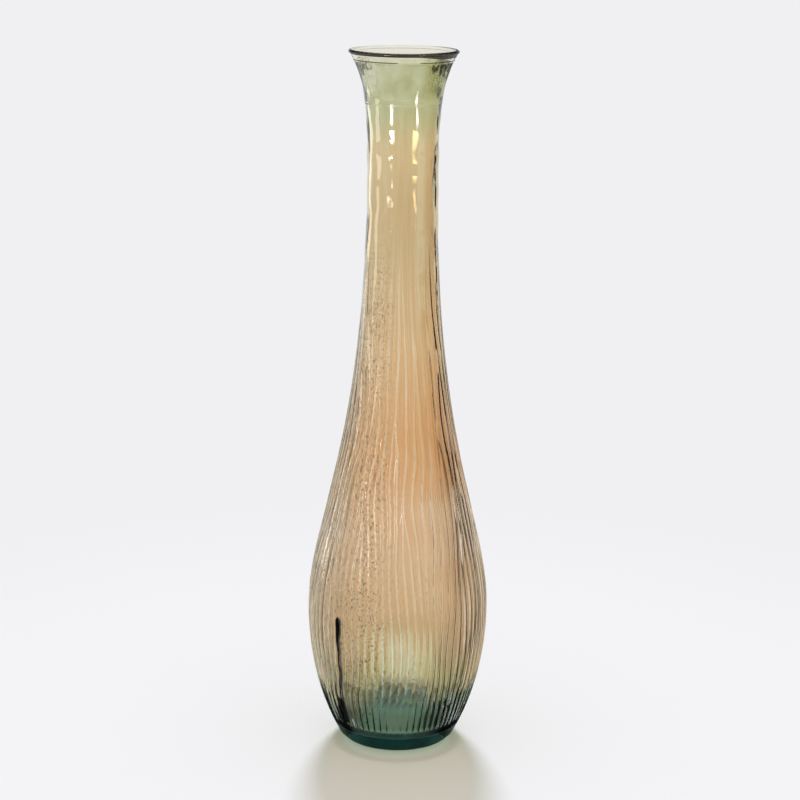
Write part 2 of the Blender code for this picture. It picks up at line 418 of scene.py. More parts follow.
def darkened(t, shader, mix, dark, meets, depth=DARKNESS):
    """Paints shade: mixes the glass with a plain dark sheet by the mask, and with nothing at all
    where two pieces meet.
    """
    through = t.node("ShaderNodeBsdfTransparent")
    t.feed(through.inputs["Color"], t.blend(meets, depth, WHITE))
    t.feed(mix.inputs[1], t.mixed(t.most(dark, meets), shader, through).outputs[0])


def glass(name, density, colour):
    """Clear recycled glass, its colour in its depth, so thick places are dark. Shadows and the
    floor's own light pass straight through it, tinted once at each face."""
    made = bpy.data.materials.new(name)
    made.use_nodes = True
    t = Tree(made.node_tree)
    shader = made.node_tree.nodes["Principled BSDF"]
    shader.inputs["Base Color"].default_value = WHITE
    shader.inputs["Roughness"].default_value = POLISH
    shader.inputs["Transmission Weight"].default_value = 1.0
    shader.inputs["IOR"].default_value = GLASS_IOR
    depth = t.node("ShaderNodeVolumeAbsorption")
    depth.inputs["Density"].default_value = density
    depth.inputs["Color"].default_value = (*colour, 1)
    out = made.node_tree.nodes["Material Output"]
    t.feed(out.inputs["Volume"], depth.outputs[0])
    through = t.node("ShaderNodeBsdfTransparent")
    through.inputs["Color"].default_value = SHADOW_TINT
    path = t.node("ShaderNodeLightPath").outputs
    mix = t.mixed(t.most(path["Is Shadow Ray"], path["Is Diffuse Ray"]), shader, through)
    t.feed(out.inputs["Surface"], mix.outputs[0])
    return made, t, shader, mix


plain_turning = turning_tree("plain turning")
top = FLOOR_HEIGHT - SEAM
rows = [
    Row(RING_INSIDE * share, KICK_DEPTH * (1 - share**2), inner=1)
    for share in between(0, 1, BASE_STEPS)
]
heel = arc((HEEL_MIDDLE, HEEL_RADIUS), (HEEL_RADIUS, HEEL_RADIUS), -90, HEEL_END, BASE_STEPS)
rows += [Row(*place) for place in heel]
rows += [Row(outside_radius(h), h) for h in between(SIDE_START, top, BASE_STEPS)]
rows += [
    Row(DOME_RADIUS * share, top + DOME_HEIGHT * (1 - share**2), inner=1)
    for share in between(1, 0, BASE_STEPS)
]


def teal_base():
    """Glass of the base: its side is painted the deepest teal under a dark sheet, painted shade for
    the depth of the thick glass that also hides its reflections; its floor and kick are clearer.
    """
    made, t, shader, mix = glass("teal recycled glass", TEAL_DENSITY, TEAL_GLASS)
    at = spot_on_vase(t)
    # Painted shade: the side of the base is painted dark teal
    side = t.times(t.step(at.girth, 0.073, 0.076), t.step(at.z, top, top - 0.0006))
    t.feed(shader.inputs["Base Color"], t.blend(side, WHITE, TEAL_SIDE))
    t.feed(shader.inputs["Roughness"], t.step(at.z, top - 0.0004, top, POLISH, 0.30))
    hollow = inside_radius(FLOOR_HEIGHT + FLOOR_CORNER) - FLOOR_CORNER
    outer = t.math("GREATER_THAN", at.girth, hollow)
    meets = t.times(outer, fused(t, at.z, top))
    darkened(t, shader, mix, t.times(side, SIDE_DARKNESS), meets, TEAL_DEPTH_SHADE)
    return made


base = turned(
    "solid_base_glass", plain_turning, rows,
    Columns=BASE_COLUMNS, Material=teal_base(), Waver=0.0, **{"Waver size": 1.0},
)
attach(base, "root")
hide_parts("solid_base")


# Ribbed body
# The wall was blown into a fluted mould, from the base up to the mould line under the mouth.
# Narrow crests stand between shallow flutes, and fork where the wall grows wider. Outside it
# is sprayed amber, fullest on the shoulder and gone at the foot.
MOULD_LINE = 0.927
FLUTE_COUNT = 72
COLUMNS_PER_FLUTE = 8
FLUTE_DEPTH = 0.0018
FLUTE_ENDS = (0.024, 0.040)
FLUTE_FADES = (0.34, 0.78)
FADED_SHARE = 0.02
LINING_SHARE = 0.10
MOULD_END = 0.045
LAST_OPENING_SHARE = 0.82
FORK_SHARE = 0.18
SLIVER_SHARE = 0.03
HALVED_TIMES = 3
SHUFFLE_SHARE = 0.06
CREST_SHARE = 0.55
CREST_ROUNDING = 0.02
CREST_STEEPNESS = 8.0
END_ROUNDING = 0.003
# Slow sideways drift of the ribs: height of one wave, repeats round the vase, start, and reach
# as a share of one flute.
DRIFTS = ((0.61, 3, 0.4, 0.5), (0.37, 7, 2.1, 0.25), (0.23, 13, 4.0, 0.15))
DRIFT_STARTS = (0.0, 0.20)
OUTSIDE_ROWS = 96
FOOT_ROWS = 18
FOOT_ROWS_TOP = 0.060
LINING_ROWS = 46
WAVER = 0.0006
WAVER_SIZE = 26.0
WAVER_STARTS = (0.05, 0.17)
NECK_WAVER = 7.0
NECK_WAVER_STARTS = (0.60, 0.80)
NECK_WAVER_ENDS = (1.01, 0.94)
RIM_CALM_SHARE = 0.6
RIM_CALM_STARTS = (0.95, 1.00)
CORNER_STEPS = 8
WALL_GLASS = (0.74, 0.84, 0.80)
WALL_DENSITY = 32.0


def waver_at(height):
    """How much the wall may waver: nothing on the base, most on the neck, little at the rim."""
    neck = rise(height, *NECK_WAVER_STARTS) * rise(height, *NECK_WAVER_ENDS)
    calmed = 1 - RIM_CALM_SHARE * rise(height, *RIM_CALM_STARTS)
    return rise(height, *WAVER_STARTS) * (1 + NECK_WAVER * neck) * calmed


def flute_weight(t, given, flute, row_of, height):
    """How wide a flute is here, from 0 to 1. Where the wall narrows, the flutes close one after
    another, every second one first, and below the belly in another order."""
    turn = t.times(t.math("SINE", t.times(flute, flute)), SHUFFLE_SHARE)
    turn = t.plus(turn, t.times(t.math("LESS_THAN", height, given["Belly height"]), 0.5))
    for times in range(HALVED_TIMES):
        group = t.math("FLOOR", t.ratio(t.plus(flute, 0.5), 2.0**times))
        turn = t.plus(turn, t.times(t.math("MODULO", group, 2.0), 0.5 ** (times + 1)))
    turn = t.math("FRACT", t.plus(turn, 1.0))
    opened = t.minus(row_of("girth"), t.times(turn, LAST_OPENING_SHARE))
    weight = t.step(opened, 0.0, FORK_SHARE)
    return t.times(weight, t.math("GREATER_THAN", weight, SLIVER_SHARE))


def rib_drift(t, angle, height):
    """How far a rib has drifted sideways here, in flutes."""
    moved = 0.0
    for wave, repeats, start, reach in DRIFTS:
        round_it = t.math("SINE", t.plus(t.times(angle, repeats), start))
        up_it = t.math("SINE", t.plus(t.times(height, math.tau / wave), start))
        moved = t.plus(moved, t.times(round_it, up_it, reach))
    return t.times(moved, t.step(height, *DRIFT_STARTS))


def sinking(t, share, weight, shut):
    """How far the glass is sunk, by the share of the flute passed: nothing on the crests, and
    less where the flute is narrow or its end has closed."""
    dip = t.math("SINE", t.times(share, math.pi))
    dip = t.math("SQRT", t.plus(t.times(dip, dip), CREST_ROUNDING))
    dip = t.times(t.minus(dip, math.sqrt(CREST_ROUNDING)), weight)
    left = t.minus(dip, shut)
    left = t.plus(left, t.math("SQRT", t.plus(t.times(left, left), END_ROUNDING)))
    return t.times(left, 0.5, t.math("MINIMUM", 1.0, t.times(dip, CREST_STEEPNESS)))


def fluted_bend(t, given, column, row_of, radius, height):
    """Bends the columns round the axis a flute at a time, each flute as wide as its weight, and
    sinks the flutes into the wall."""
    per_flute = t.ratio(given["Columns"], given["Flutes"])
    flute = t.math("FLOOR", t.ratio(t.plus(column, 0.5), per_flute))
    steps = t.minus(column, t.times(flute, per_flute))

    def across(steps):
        """Share of the flute passed after so many columns, which crowd together at the crests."""
        even = t.ratio(steps, per_flute)
        wave = t.math("SINE", t.times(even, math.tau))
        return t.minus(even, t.times(wave, CREST_SHARE / math.tau))

    share = across(steps)
    width = t.minus(across(t.plus(steps, 1)), share)
    weight = flute_weight(t, given, flute, row_of, height)

    passed = t.node("GeometryNodeAccumulateField", data_type="FLOAT", domain="POINT")
    counted = t.math("LESS_THAN", column, t.minus(given["Columns"], 0.5))
    t.feed(passed.inputs["Value"], t.times(weight, width, counted))
    t.feed(passed.inputs["Group ID"], row_of("row"))
    angle = t.times(t.ratio(passed.outputs["Trailing"], passed.outputs["Total"]), math.tau)
    one_flute = t.ratio(math.tau, given["Flutes"])
    angle = t.plus(angle, t.times(rib_drift(t, angle, height), one_flute))

    sunk = sinking(t, share, weight, row_of("closed"))
    depth = t.times(sunk, row_of("bite"), given["Flute depth"])
    return angle, t.minus(radius, depth), sunk


def bite(height):
    """How deep the flutes are at a height: full on the belly, faint on the neck."""
    faded = 1 - (1 - FADED_SHARE) * rise(height, *FLUTE_FADES)
    return rise(height, MOULD_LINE, MOULD_LINE - MOULD_END) * faded


def closed(height):
    """How far the ends of the flutes have closed at a height."""
    return 1 - rise(height, *FLUTE_ENDS)


# Colour that the coat gives to light going once through the wall, by height
SPRAY_STOPS = (
    (0.050, (0.95, 0.99, 0.95)),
    (0.080, (0.88, 0.94, 0.82)),
    (0.100, (0.82, 0.88, 0.70)),
    (0.110, (0.68, 0.57, 0.34)),
    (0.125, (0.74, 0.58, 0.35)),
    (0.145, (0.80, 0.62, 0.38)),
    (0.185, (0.84, 0.66, 0.45)),
    (0.220, (0.84, 0.67, 0.47)),
    (0.300, (0.91, 0.70, 0.50)),
    (0.420, (0.87, 0.60, 0.35)),
    (0.580, (0.88, 0.69, 0.46)),
    (0.720, (0.82, 0.68, 0.46)),
    (0.780, (0.82, 0.68, 0.46)),
    (0.860, (0.87, 0.74, 0.51)),
    (0.925, (0.74, 0.73, 0.51)),
    (1.000, (0.81, 0.81, 0.62)),
)
DEEPEST_FLUTE = 0.87
GRAIN_STRENGTH = 0.4
GRAIN_HEIGHT = 0.001
# Where things lie on the coat. Heights are in metres, and sides run from -1 at the left to 1 at
# the right. Of two places, the first has nothing of it and the second has all. Of four, it
# begins at the first, is full between the next two and ends at the last.
TONGUES_A_METRE = 95.0
TONGUE_LENGTH = 0.15
TONGUES_END = (0.20, 0.14)
LEFT_TONGUES = (-0.15, -0.6)
RIGHT_TONGUES = (0.2, 0.6)
RIGHT_THIN_SIDES = (0.20, 0.50, 0.80, 0.92)
RIGHT_THIN_HEIGHTS = (0.13, 0.175)
RIGHT_THIN_TOP = (0.27, 0.19)
# Painted sheen: an upright lighter streak on the right of the neck
SHEEN_SIDE = 0.53
SHEEN_HEIGHTS = (0.60, 0.70, 0.87, 0.91)
BAND_HEIGHT = 0.335
BAND_SIDES = (0.10, 0.50)
MOTTLED_FROM = (0.90, 0.95)
HEAVY_FROM = (0.93, 0.955)
HEAVY_SIDES = (0.35, 0.80)
STROKE_SIDES = (0.45, 0.75)
STROKE_HEIGHTS = (0.935, 0.945, 0.97, 0.985)
MARK_RISE = 0.0006
MARK_TILT = 0.0012
MARK_EDGES = (0.0009, 0.0004)
# Painted glints: a few bare spots at the foot
GLINT_SPOT_SIDE = 0.18
GLINT_SPOT_HEIGHTS = (0.112, 0.125, 0.165, 0.18)
SPECKS_FROM_METRES = (0.000, -0.042)
SPECKS_TOP = (0.80, 0.62)
SPECK_COLOUR = (0.02, 0.03, 0.03, 1)
# Painted shade along a fold, and in a dark wedge at the foot
FOLD_AZIMUTH = -41.5
FOLD_NARROWS = (0.145, 0.200)
FOLD_TOP = (0.212, 0.204)
FOLD_END = (0.055, 0.075)
WEDGE_AZIMUTHS = (-46.8, -49.5)
WEDGE_HEIGHTS = (0.036, 0.040, 0.080, 0.088)
# Painted shade between the flutes at the foot, and over the foot at the right
LEFT_GAPS = (-0.55, -0.74)
RIGHT_GAPS = (0.10, 0.55)
GAPS_TOP = 0.050
GAPS_GROW = 0.038
RIGHT_SHADE_SIDES = (0.30, 0.60)
RIGHT_SHADE_TOP = (0.105, 0.080)
# Painted shade under the ends of the tongues
EDGE_SHADE_TOP = (0.1245, 0.1215)
# Lines of painted shade near the outline, and a lone one up the neck
LINE_HEIGHTS = (0.12, 0.18, 0.66, 0.76)
LONE_SIDE = 0.92
# Painted shade: the outside of the wall just above the base is darkened to teal
TEAL_TOP = (0.0358, 0.0346)
TEAL_FOOT = (0.004, 0.07, 0.085, 1)
TEETH_TOP = (0.048, 0.043)


def coat_colour(t, at, around, crest):
    """Colour of the coat, by height. It ends at the foot in tongues that ran down the flutes,
    lowest at the left."""
    tongues = t.most(t.plus(t.uneven(around, TONGUES_A_METRE, 1.0, 2.0), 0.07), 0.0)
    tongues = t.times(tongues, t.minus(1.0, crest), TONGUE_LENGTH)
    lower = t.plus(
        t.step(at.side, *LEFT_TONGUES, -0.011, 0.036),
        t.step(at.side, *RIGHT_TONGUES, 0.0, 0.022),
        tongues,
    )
    lower = t.times(lower, t.step(at.z, *TONGUES_END))
    drift = t.times(t.uneven(at.place, 9.0, 2.0, 0.0), t.step(at.z, 0.12, 0.22, 0.0, 0.08))
    ramp = t.node("ShaderNodeValToRGB")
    t.feed(ramp.inputs[0], t.plus(at.z, drift, lower))
    stops = ramp.color_ramp.elements
    for stop, (height, colour) in zip(stops, (SPRAY_STOPS[0], SPRAY_STOPS[-1])):
        stop.position, stop.color = height, (*colour, 1)
    for height, colour in SPRAY_STOPS[1:-1]:
        stops.new(height).color = (*colour, 1)
    return ramp.outputs[0]


def thin_coat_and_sheen(t, at):
    """Where the coat is lighter: less was sprayed above the foot on the right and in a band round
    the shoulder, and an upright streak on the neck is a painted sheen."""
    above_foot = t.times(
        t.span(at.side, *RIGHT_THIN_SIDES),
        t.step(at.z, *RIGHT_THIN_HEIGHTS),
        t.step(at.z, *RIGHT_THIN_TOP, 0.0, 0.3),
    )
    # Painted sheen: a lighter upright streak on the neck
    painted_sheen = t.times(t.near(at.side, SHEEN_SIDE, 0.15, 0.08, 0.22), t.span(at.z, *SHEEN_HEIGHTS))
    band = t.times(t.near(at.z, BAND_HEIGHT, 0.060, 0.030, 0.30), t.step(at.side, *BAND_SIDES))
    return t.most(above_foot, painted_sheen, band)


def coat_amount(t, at, crest):
    """How thick the coat lies. It ran off the crests below the neck, lies thickest on the right,
    is streaky upright, and is mottled on the collar."""
    beside = t.absolute(at.side)
    run_off = t.times(t.math("POWER", crest, 5.0), t.step(at.z, 0.80, 0.55, 0.12, 0.80))
    sided = t.minus(t.times(at.side, 0.13), t.times(beside, 0.10))
    sided = t.plus(sided, t.times(beside, t.step(at.z, 0.35, 0.20, 0.0, 0.25)))
    upright = t.point(at.x, at.y, t.times(at.z, 0.06))
    streaky = t.times(t.uneven(upright, 130.0, 1.0, 0.0), 0.5)
    mottle = t.times(t.uneven(at.place, 45.0, 3.0, 0.0), t.step(at.z, *MOTTLED_FROM, 0.0, 2.4))
    heavy = t.times(t.step(at.side, *HEAVY_SIDES), t.step(at.z, *HEAVY_FROM, 0.0, 1.3))
    return t.times(
        t.minus(1.0, run_off),
        t.plus(1.0, sided),
        t.minus(1.0, thin_coat_and_sheen(t, at)),
        t.plus(1.0, streaky),
        t.plus(1.0, t.plus(mottle, heavy)),
    )


def rubbed_places_and_glints(t, at, around):
    """Where the coat is rubbed off: in brush strokes at the sides of the mouth and along the mark
    of the mould's edge on one side. A few bare spots at the foot are painted glints."""
    brushed = t.point(at.x, at.y, t.times(at.z, 0.25))
    strokes = t.times(
        t.step(t.noise(brushed, 260.0, 1.0, 5.0), 0.53, 0.62, 0.0, 0.9),
        t.step(t.absolute(at.side), *STROKE_SIDES),
        t.span(at.z, *STROKE_HEIGHTS),
    )
    level = t.plus(MOULD_LINE + MARK_RISE, t.times(at.side, MARK_TILT))
    mark = t.times(
        t.near(at.z, level, *MARK_EDGES),
        t.step(t.noise(around, 60.0, 1.0, 9.0), 0.42, 0.52),
        t.step(at.side, 0.2, -0.1, 0.4, 1.0),
        t.step(at.y, 0.02, -0.01, 0.15, 1.0),
    )
    # Painted glints: a few bare spots at the foot
    painted_glints = t.times(
        t.step(t.noise(at.place, 420.0, 1.0, 8.0), 0.57, 0.61),
        t.near(at.side, GLINT_SPOT_SIDE, 0.07, 0.03),
        t.span(at.z, *GLINT_SPOT_HEIGHTS),
        t.math("LESS_THAN", at.y, 0.0),
    )
    return t.most(strokes, mark, painted_glints)


def left_dark_specks(t, at):
    """Dark specks painted on the left side, and the zone they fill."""
    ragged = t.plus(at.x, t.times(t.uneven(at.place, 50.0, 2.0, 4.0), 0.05))
    zone = t.times(t.step(ragged, *SPECKS_FROM_METRES), t.step(at.z, *SPECKS_TOP))
    specks = t.noise(t.point(at.x, at.y, t.times(at.z, 0.6)), 380.0, 1.0, 3.0)
    return t.times(t.step(specks, 0.61, 0.66, 0.0, 0.85), zone), zone


def fine_grain(t, at, zone):
    """Grain of the coat: satin on the belly and the neck, coarser where the spray dried."""
    satin = t.times(t.step(at.z, 0.12, 0.25), t.step(at.z, 0.86, 0.76, 0.0, 0.10))
    coarse = t.times(zone, zone, t.step(at.z, 0.36, 0.46, 0.7, 0.4))
    return t.times(t.noise(at.place, 300.0, 1.0), t.plus(satin, coarse))


def fold_with_painted_shade(t, at):
    """A cold shut, the fold where two ribs closed on each other in the mould, with its shade painted
    as a dark line. It is fullest at its top, and opens again to a dark wedge at the foot."""
    azimuth = t.times(t.math("ARCTAN2", at.x, t.times(at.y, -1.0)), 180 / math.pi)
    wobble = t.times(t.uneven(t.point(0.0, 0.0, at.z), 60.0, 1.0, 0.0), 1.5)
    wobble = t.plus(wobble, t.step(at.z, 0.13, 0.07, 0.0, 4.0))
    off = t.absolute(t.plus(t.minus(azimuth, FOLD_AZIMUTH), wobble))
    full = t.times(
        t.step(at.z, *FOLD_NARROWS, 0.42, 1.0),
        t.step(at.z, *FOLD_TOP),
        t.step(at.z, *FOLD_END),
    )
    fold = t.step(t.ratio(off, t.most(full, 0.05)), 2.0, 1.5)
    fold = t.times(fold, t.step(full, 0.10, 0.20))
    middle = t.step(at.z, 0.080, 0.034, *WEDGE_AZIMUTHS)
    half_width = t.times(t.step(at.z, 0.088, 0.055, 0.0, 5.5), t.step(at.z, 0.036, 0.046, 0.4, 1.0))
    wedge = t.step(t.minus(t.absolute(t.minus(azimuth, middle)), half_width), 0.4, -0.4)
    wedge = t.times(wedge, t.span(at.z, *WEDGE_HEIGHTS), 0.92)
    return t.most(fold, wedge)


def painted_gap_shade(t, at, around, crest):
    """Painted shade between the flutes of the foot, where the glass is thick: a little in front,
    nearly all of it at the sides. On the right more painted shade lies over it, and it clears just
    above the base in front."""
    patchy = t.uneven(around, 70.0, 1.0, 6.0)
    wide = t.most(t.step(at.side, *LEFT_GAPS), t.step(at.side, *RIGHT_GAPS))
    narrow = t.plus(t.minus(0.85, t.times(wide, 0.48)), t.times(patchy, 1.9))
    upper = t.plus(GAPS_TOP, t.times(wide, GAPS_GROW), t.times(patchy, 0.09))
    gaps = t.step(t.minus(crest, narrow), -0.08, 0.08)
    gaps = t.times(gaps, t.step(t.minus(at.z, upper), 0.008, -0.008))
    gaps = t.most(gaps, t.step(at.z, 0.080, 0.060, 0.0, 0.45))
    gaps = t.times(gaps, t.plus(0.50, t.times(wide, 0.47)))
    # More painted shade over the foot at the right
    right_shade = t.times(t.step(at.side, *RIGHT_SHADE_SIDES, 0.0, 0.52), t.step(at.z, *RIGHT_SHADE_TOP))
    lowest = t.step(t.absolute(at.side), 0.45, 0.70, 0.45, 1.0)
    return t.times(t.most(gaps, right_shade), t.step(at.z, 0.039, 0.044, lowest, 1.0))


def painted_edge_shade(t, at, around):
    """Painted shade under the ends of the tongues, where the bare foot begins: a darker band with
    pointed teeth.
    """
    icicles = t.most(t.plus(t.uneven(around, 125.0, 1.0, 2.0), 0.02), 0.0)
    icicles = t.times(icicles, t.step(t.absolute(at.side), 0.0, 0.35, 0.07, 0.14))
    lower = t.plus(t.step(at.side, -0.15, -0.50, 0.0, 0.012), t.step(at.side, 0.10, 0.50, 0.0, 0.014))
    border = t.plus(at.z, lower, icicles)
    return t.times(
        t.step(border, *EDGE_SHADE_TOP),
        t.step(at.z, 0.078, 0.114, 0.0, 0.42),
        t.step(at.side, -0.76, -0.60),
    )


def rib_lines(t, at, crest):
    """On the shoulder the ribs fade, but dark lines of painted shade go on along them near the
    outline. One of them goes on up the neck, broken."""
    broken = t.noise(t.point(at.x, at.y, t.times(at.z, 0.15)), 75.0, 1.0, 7.0)
    right = t.times(
        t.step(at.side, 0.55, 0.80),
        t.step(at.z, 0.34, 0.44),
        t.step(broken, 0.38, 0.46),
        t.step(at.side, 0.90, 0.97, 1.0, 0.6),
    )
    left = t.times(t.step(at.side, -0.62, -0.80), t.step(broken, 0.50, 0.56, 0.0, 0.6))
    lines = t.times(t.most(right, left), t.step(crest, 0.60, 0.85, 0.0, 0.95))
    lines = t.times(lines, t.span(at.z, *LINE_HEIGHTS))
    upward = t.point(0.0, 0.0, at.z)
    off = t.plus(t.minus(at.side, LONE_SIDE), t.times(t.uneven(upward, 22.0, 2.0, 8.0), 0.06))
    # A lone broken line of painted shade up the neck
    lone = t.times(
        t.step(t.absolute(off), 0.026, 0.012),
        t.math("LESS_THAN", at.y, 0.0),
        t.step(t.noise(upward, 28.0, 2.0, 3.0), 0.46, 0.53),
        t.times(t.step(at.z, 0.62, 0.66, 0.0, 0.95), t.step(at.z, 0.93, 0.92)),
    )
    return t.most(lines, lone)


def spray_group():
    """The sprayed coat: its colour, with a painted sheen and painted glints in it, its roughness
    and its grain, and masks of painted shade for the wall under it, all by place on the vase."""
    group = bpy.data.node_groups.new("sprayed coat", "ShaderNodeTree")
    face = group.interface
    for word in ("In the flutes", "Coat"):
        face.new_socket(word, in_out="INPUT", socket_type="NodeSocketFloat")
    face.new_socket("Colour", in_out="OUTPUT", socket_type="NodeSocketColor")
    for word in ("Roughness", "Grain", "Fold", "Gaps", "Lines"):
        face.new_socket(word, in_out="OUTPUT", socket_type="NodeSocketFloat")
    t = Tree(group)
    given = t.node("NodeGroupInput").outputs
    at = spot_on_vase(t)
    around = t.point(at.x, at.y, 0.0)
    crest = t.most(t.minus(1.0, t.ratio(given["In the flutes"], DEEPEST_FLUTE)), 0.0)

    rubbed_and_glints = rubbed_places_and_glints(t, at, around)
    amount = t.times(coat_amount(t, at, crest), t.minus(1.0, rubbed_and_glints), given["Coat"])
    colour = t.gamma(coat_colour(t, at, around, crest), amount)
    specks, zone = left_dark_specks(t, at)

    out = t.node("NodeGroupOutput").inputs
    t.feed(out["Colour"], t.blend(specks, colour, SPECK_COLOUR, "MULTIPLY"))
    t.feed(out["Roughness"], t.plus(t.times(zone, 0.02), t.times(rubbed_and_glints, 0.35), 0.005))
    t.feed(out["Grain"], fine_grain(t, at, zone))
    t.feed(out["Fold"], fold_with_painted_shade(t, at))
    # Painted shade between the flutes and under the ends of the tongues
    t.feed(out["Gaps"], t.most(painted_gap_shade(t, at, around, crest), painted_edge_shade(t, at, around)))
    t.feed(out["Lines"], rib_lines(t, at, crest))
    return group


spray = spray_group()


def turned_away(t, normal=None):
    """How far the surface, or the given direction, is turned away from the eye."""
    weight = t.node("ShaderNodeLayerWeight")
    weight.inputs["Blend"].default_value = 0.5
    if normal is not None:
        t.feed(weight.inputs["Normal"], normal)
    return weight.outputs["Facing"]


def sides_of_wall(t, outward):
    """Masks of the wall where it is entered from outside, and where from within."""
    surface = t.node("ShaderNodeNewGeometry").outputs
    leaning = t.node("ShaderNodeVectorMath", operation="DOT_PRODUCT")
    t.feed(leaning.inputs[0], outward)
    t.feed(leaning.inputs[1], surface["True Normal"])
    entering = t.minus(1.0, surface["Backfacing"])
    outside = t.times(t.math("GREATER_THAN", leaning.outputs["Value"], 0.0), entering)
    return outside, t.minus(entering, outside)


def ribbed_darkness(t, at, coat, away, outward, outside, within):
    """Painted shade on the ribbed wall, standing for the dark refraction of the glass: in the flank
    of each rib, along the outline, in the fold, between the ribs, and in teeth along the corner of
    its floor."""
    # Painted shade in the flanks of the ribs, more at the right and fainter at the left
    flank = t.minus(away, t.times(turned_away(t, outward), 0.75))
    flank = t.plus(flank, t.step(at.side, 0.35, 0.80, 0.0, 0.035))
    fainter = t.times(t.step(at.side, -0.40, -0.80, 0.0, -0.10), t.step(at.z, 0.18, 0.32, 0.3, 1.0))
    flank = t.plus(flank, fainter)
    flank = t.step(flank, 0.27, 0.35, 0.0, t.step(at.side, -0.85, -0.45, 0.24, 0.94))
    flank = t.times(flank, t.most(outside, t.step(at.z, 0.050, 0.070)))
    # Painted shade along the outline, faint on the left and deep on the right
    outline = t.step(away, 0.88, 0.97, 0.0, t.step(at.side, -0.5, 0.5, 0.06, 0.75))
    ribs = t.times(t.most(coat["Gaps"], coat["Lines"]), outside)
    teeth = t.times(t.uneven(t.point(at.x, at.y, 0.0), 110.0, 1.0, 8.0), 0.035)
    # Painted shade in teeth along the inside corner of the floor
    corner = t.step(at.side, -0.6, -0.2, 0.10, 0.36)
    corner = t.step(t.plus(at.z, teeth), *TEETH_TOP, 0.0, corner)
    corner = t.times(corner, t.step(at.z, 0.026, 0.031), within)
    return t.most(outline, flank, coat["Fold"], ribs, corner)


def collar_darkness(t, at, away):
    """Painted shade on the smooth collar: along the outline, deepest at the right, and in upright
    streaks under the lip.
    """
    streaky = t.noise(t.point(at.x, at.y, t.times(at.z, 0.35)), 210.0, 2.0)
    under_lip = t.times(
        t.step(at.z, 0.952, 0.980),
        t.step(streaky, 0.38, 0.60, 0.15, 0.58),
        t.step(at.side, 0.35, 0.80, 1.0, 1.35),
    )
    # Painted shade along the outline, deepest at the right
    darkest = t.step(at.side, -0.9, 0.3, 0.50, 0.72)
    return t.step(t.plus(away, under_lip), 0.80, 1.0, 0.0, darkest)


def sprayed(made, t, shader, mix, coat, meets, ribbed=False):
    """Gives glass the sprayed coat. The coat looks deeper at a glancing angle, and more so at the
    right, which paints shade there. At the foot, seen from within, it is painted deeper as shade,
    and just above the base the wall is painted as dark a teal as the base's side."""
    coated = t.node("ShaderNodeGroup", node_tree=spray)
    t.feed(coated.inputs["In the flutes"], DEEPEST_FLUTE)
    t.feed(coated.inputs["Coat"], coat)
    if ribbed:
        sunk = t.node("ShaderNodeAttribute", attribute_name="sunk")
        t.feed(coated.inputs["In the flutes"], sunk.outputs["Fac"])
    coated = coated.outputs
    at = spot_on_vase(t)
    outward = t.node("ShaderNodeVectorMath", operation="NORMALIZE")
    t.feed(outward.inputs[0], t.point(at.x, at.y, 0.0))
    outward = outward.outputs[0]
    outside, within = sides_of_wall(t, outward)
    away = turned_away(t)

    # The right side is painted deeper than the left, as shade
    glancing = t.step(away, 0.10, 0.80, 1.0, t.step(at.side, -0.6, 0.6, 1.5, 2.4))
    # Painted shade: the foot is deeper where it is seen from within
    low = t.times(within, t.step(at.z, 0.095, 0.040, 0.0, 3.0))
    deeper = t.gamma(coated["Colour"], t.plus(glancing, low))
    # Painted shade: the outside just above the base is as dark a teal as the base's side
    teal = t.times(t.step(at.z, *TEAL_TOP), outside)
    t.feed(shader.inputs["Base Color"], t.blend(teal, deeper, TEAL_FOOT, "MULTIPLY"))
    t.feed(shader.inputs["Roughness"], coated["Roughness"])
    bump = t.node("ShaderNodeBump")
    bump.inputs["Strength"].default_value = GRAIN_STRENGTH
    bump.inputs["Distance"].default_value = GRAIN_HEIGHT
    t.feed(bump.inputs["Height"], coated["Grain"])
    t.feed(shader.inputs["Normal"], bump.outputs[0])

    if ribbed:
        dark = ribbed_darkness(t, at, coated, away, outward, outside, within)
    else:
        dark = collar_darkness(t, at, away)
    darkened(t, shader, mix, dark, fused(t, at.z, *meets))
    return made


foot = FLOOR_HEIGHT
top = MOULD_LINE - SEAM
heights = between(foot, FOOT_ROWS_TOP, FOOT_ROWS) + between(FOOT_ROWS_TOP, top, OUTSIDE_ROWS)[1:]
outside = [Row(outside_radius(h), h, bite(h), closed(h), 0, waver_at(h)) for h in heights]
corner_top = foot + FLOOR_CORNER
corner = arc(
    (inside_radius(corner_top) - FLOOR_CORNER, corner_top),
    (FLOOR_CORNER, FLOOR_CORNER),
    -90, 0, CORNER_STEPS,
)
lining = [Row(*place, inner=1) for place in corner]
lining += [
    Row(inside_radius(h), h, LINING_SHARE * bite(h), closed(h), 1, waver_at(h))
    for h in between(corner_top, top, LINING_ROWS)[1:]
]
amber = glass("amber sprayed glass", WALL_DENSITY, WALL_GLASS)
amber = sprayed(*amber, coat=1.0, meets=(foot, top), ribbed=True)
fluted_turning = turning_tree(
    "fluted turning",
    fluted_bend,
    [("Flutes", "Int"), ("Flute depth", "Float"), ("Belly height", "Float")],
)
body = turned(
    "ribbed_body_glass", fluted_turning, outside + lining[::-1] + outside[:1],
    Columns=FLUTE_COUNT * COLUMNS_PER_FLUTE, Flutes=FLUTE_COUNT, Material=amber, Waver=WAVER,
    **{"Waver size": WAVER_SIZE, "Flute depth": FLUTE_DEPTH, "Belly height": FOOT_TO_BELLY},
)
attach(body, "root")
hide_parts("ribbed_body")


# Flared collar
# Above the mould line the mouth was opened by hand, so it is smooth, and its wall is thinner.
# It is the same bubble as the body, cut from it here at the mark that the mould left.
LIP_LINE = 0.984
COLLAR_COLUMNS = 240
COLLAR_ROWS = 24

